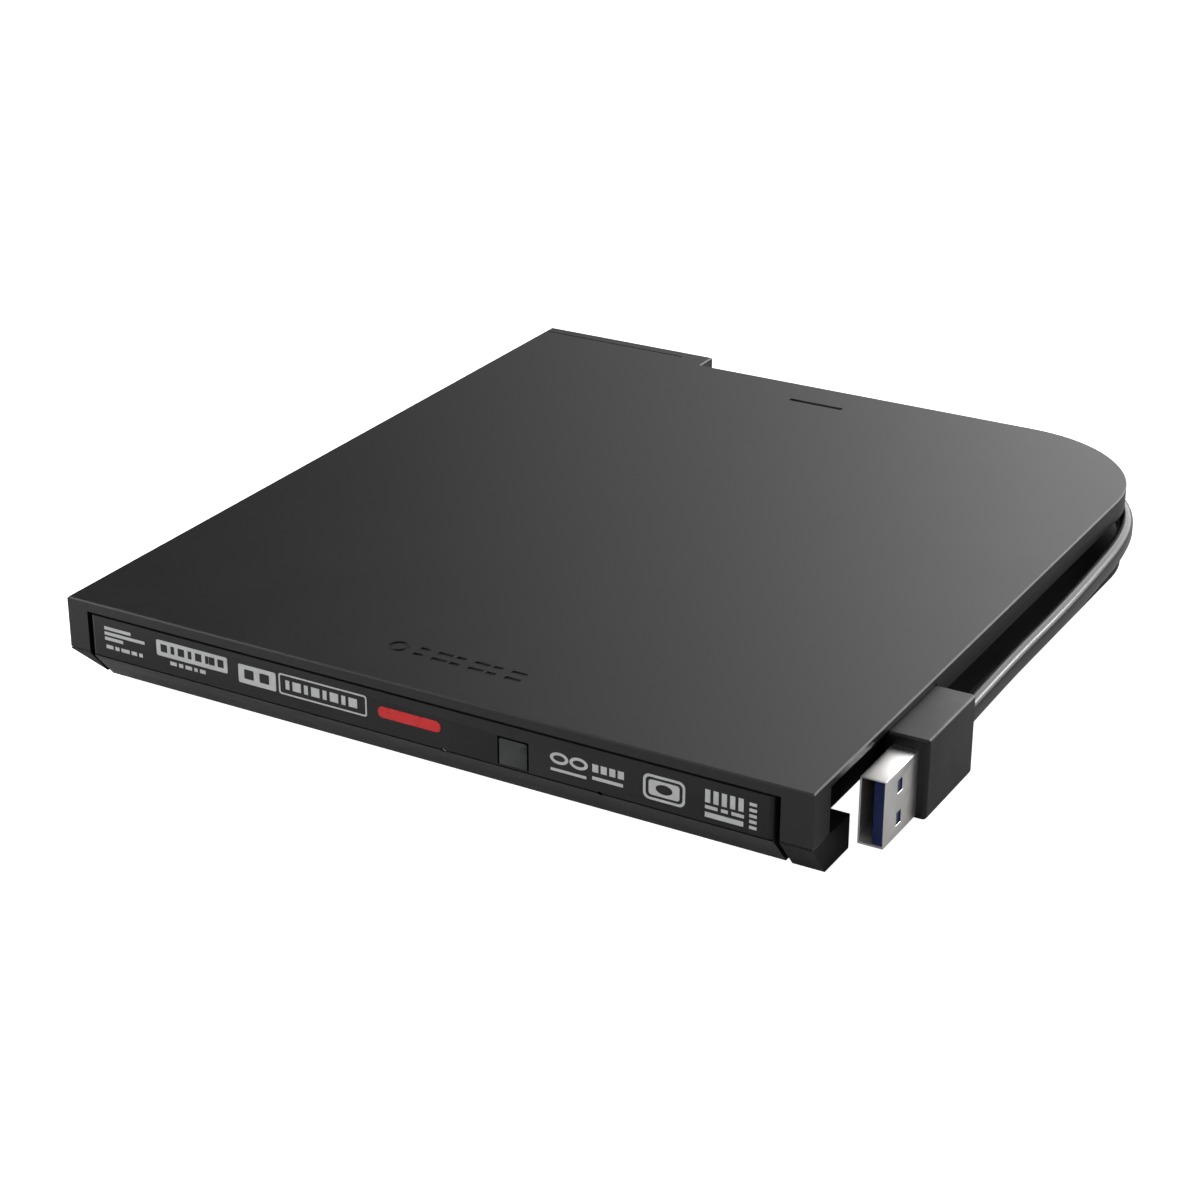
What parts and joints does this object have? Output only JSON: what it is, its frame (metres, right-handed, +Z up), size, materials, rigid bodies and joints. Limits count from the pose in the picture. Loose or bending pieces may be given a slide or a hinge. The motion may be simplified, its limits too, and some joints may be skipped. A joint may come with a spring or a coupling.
{
  "type": "external optical drive",
  "caption": "Slim USB disc drive in a flat black case: sliding tray with full-height bezel, eject button, spindle and pickup, and a short lead stored in a groove round the side and rear",
  "frame": {"origin": "middle of the case footprint, without the lead, on the plane that the feet stand on", "axes": "+Z up; the tray opens along -Y, so +Y points to the rear; +X to the right seen from the front"},
  "size_m": [0.1522, 0.1673, 0.017],
  "materials": {
    "case_plastic": "fine satin grain",
    "bezel_plastic": "smooth satin",
    "button_plastic": "smooth satin",
    "red_inlay": "red inlay",
    "light_plastic": "translucent light pipe",
    "rubber_feet": "rubber",
    "screw_steel": "black oxide",
    "sheet_metal": "galvanised sheet",
    "tray_plastic": "moulded",
    "guide_plastic": "natural acetal",
    "runner_metal": "pressed steel",
    "board_laminate": "solder mask",
    "chip_body": "moulded epoxy",
    "connector_plastic": "moulded nylon",
    "socket_white": "nylon",
    "flat_film": "polyester film",
    "spring_steel": "spring wire",
    "bright_steel": "ground steel",
    "motor_metal": "turned aluminium",
    "bearing_bronze": "sintered bronze",
    "hub_plastic": "moulded",
    "sled_metal": "die-cast",
    "magnet": "nickel plated",
    "lens_plastic": "moulded",
    "lens_glass": "coated lens",
    "cable_jacket": "glossy jacket",
    "plug_plastic": "fine grain",
    "plug_metal": "nickel plated shell",
    "tongue_blue": "blue insulator",
    "contact_gold": "gold plated"
  },
  "bodies": {
    "case": {"board_chips": "chip_body", "bottom_cover": "case_plastic", "bridge_board": "board_laminate", "bridge_chips": "chip_body", "bridge_socket": "connector_plastic", "cable": "cable_jacket", "cable_gland": "plug_plastic", "case_feet": "rubber_feet", "case_screws": "screw_steel", "chassis_board": "board_laminate", "drive_chassis": "sheet_metal", "drive_connector": "connector_plastic", "drive_lid": "sheet_metal", "drive_screws": "screw_steel", "ffc_connector": "socket_white", "flat_cable": "flat_film", "lead_socket": "socket_white", "lead_tail": "cable_jacket", "plug_contacts": "contact_gold", "plug_overmould": "plug_plastic", "plug_shell": "plug_metal", "plug_tongue": "tongue_blue", "rail_guide_left": "guide_plastic", "rail_guide_right": "guide_plastic", "top_cover": "case_plastic"},
    "tray": {"tray": "tray_plastic", "bezel": "bezel_plastic", "bezel_stripe": "red_inlay", "bezel_lens": "light_plastic", "tray_plate": "sheet_metal", "tray_board": "board_laminate", "eject_switch": "chip_body", "button_spring": "spring_steel", "latch_pivot": "bright_steel", "latch_magnet": "magnet", "magnet_core": "bright_steel", "ejector_sleeve": "hub_plastic", "ejector_spring": "spring_steel", "traverse_frame": "sheet_metal", "guide_rods": "bright_steel", "feed_motor": "motor_metal", "spindle_stator": "motor_metal", "spindle_bearing": "bearing_bronze"},
    "runner_left": {"rail_left": "runner_metal"},
    "runner_right": {"rail_right": "runner_metal"},
    "button": {"eject_button": "button_plastic"},
    "latch": {"latch_hook": "hub_plastic"},
    "ejector": {"ejector_pusher": "guide_plastic"},
    "spindle": {"turntable": "hub_plastic", "disc_pad": "rubber_feet"},
    "pawl_1": {"clamp_pawl_1": "guide_plastic"},
    "pawl_2": {"clamp_pawl_2": "guide_plastic"},
    "pawl_3": {"clamp_pawl_3": "guide_plastic"},
    "sled": {"pickup_sled": "sled_metal", "lens_magnets": "magnet"},
    "lens": {"lens_holder": "lens_plastic", "objective_lens": "lens_glass"},
    "screw": {"lead_screw": "bright_steel"}
  },
  "joints": [
    {"name": "tray_slide", "type": "slide", "parent": "case", "child": "tray", "axis": [0, -1, 0], "range_m": [0, 0.126], "deforming": ["flat_cable"]},
    {"name": "runner_left_slide", "type": "slide", "parent": "case", "child": "runner_left", "axis": [0, -1, 0], "range_m": [0, 0.063]},
    {"name": "runner_right_slide", "type": "slide", "parent": "case", "child": "runner_right", "axis": [0, -1, 0], "range_m": [0, 0.063]},
    {"name": "eject_press", "type": "slide", "parent": "tray", "child": "button", "axis": [0, 1, 0], "range_m": [0, 0.0006], "stiffness_N_per_m": 400, "deforming": ["button_spring"]},
    {"name": "latch_turn", "type": "hinge", "parent": "tray", "child": "latch", "pos_m": [0.0434, 0.033, 0.0062], "axis": [0, 0, 1], "range_deg": [0, 8], "stiffness_Nm_per_rad": 0.02},
    {"name": "ejector_slide", "type": "slide", "parent": "tray", "child": "ejector", "axis": [0, 1, 0], "range_m": [0, 0.0063]},
    {"name": "spindle_turn", "type": "hinge", "parent": "tray", "child": "spindle", "pos_m": [-0.0006, -0.0191, 0.0085], "axis": [0, 0, 1], "continuous": true},
    {"name": "sled_slide", "type": "slide", "parent": "tray", "child": "sled", "axis": [-0.7071, -0.7071, 0], "range_m": [0, 0.0325]},
    {"name": "screw_turn", "type": "hinge", "parent": "tray", "child": "screw", "pos_m": [0.01057, -0.03338, 0.007], "axis": [-0.7071, -0.7071, 0], "range_deg": [0, 3900]},
    {"name": "lens_focus", "type": "slide", "parent": "sled", "child": "lens", "axis": [0, 0, 1], "range_m": [-0.0003, 0.0003], "stiffness_N_per_m": 60},
    {"name": "pawl_1_slide", "type": "slide", "parent": "spindle", "child": "pawl_1", "axis": [0.7071, 0.7071, 0], "range_m": [0, 0.0005], "stiffness_N_per_m": 500},
    {"name": "pawl_2_slide", "type": "slide", "parent": "spindle", "child": "pawl_2", "axis": [-0.9659, 0.2588, 0], "range_m": [0, 0.0005], "stiffness_N_per_m": 500},
    {"name": "pawl_3_slide", "type": "slide", "parent": "spindle", "child": "pawl_3", "axis": [0.2588, -0.9659, 0], "range_m": [0, 0.0005], "stiffness_N_per_m": 500}
  ],
  "couplings": [
    {"joint": "runner_left_slide", "follows": "tray_slide", "ratio": 0.5},
    {"joint": "runner_right_slide", "follows": "tray_slide", "ratio": 0.5},
    {"joint": "ejector_slide", "follows": "tray_slide", "ratio": 0.05},
    {"joint": "screw_turn", "follows": "sled_slide", "rad_per_m": 2094.4}
  ]
}
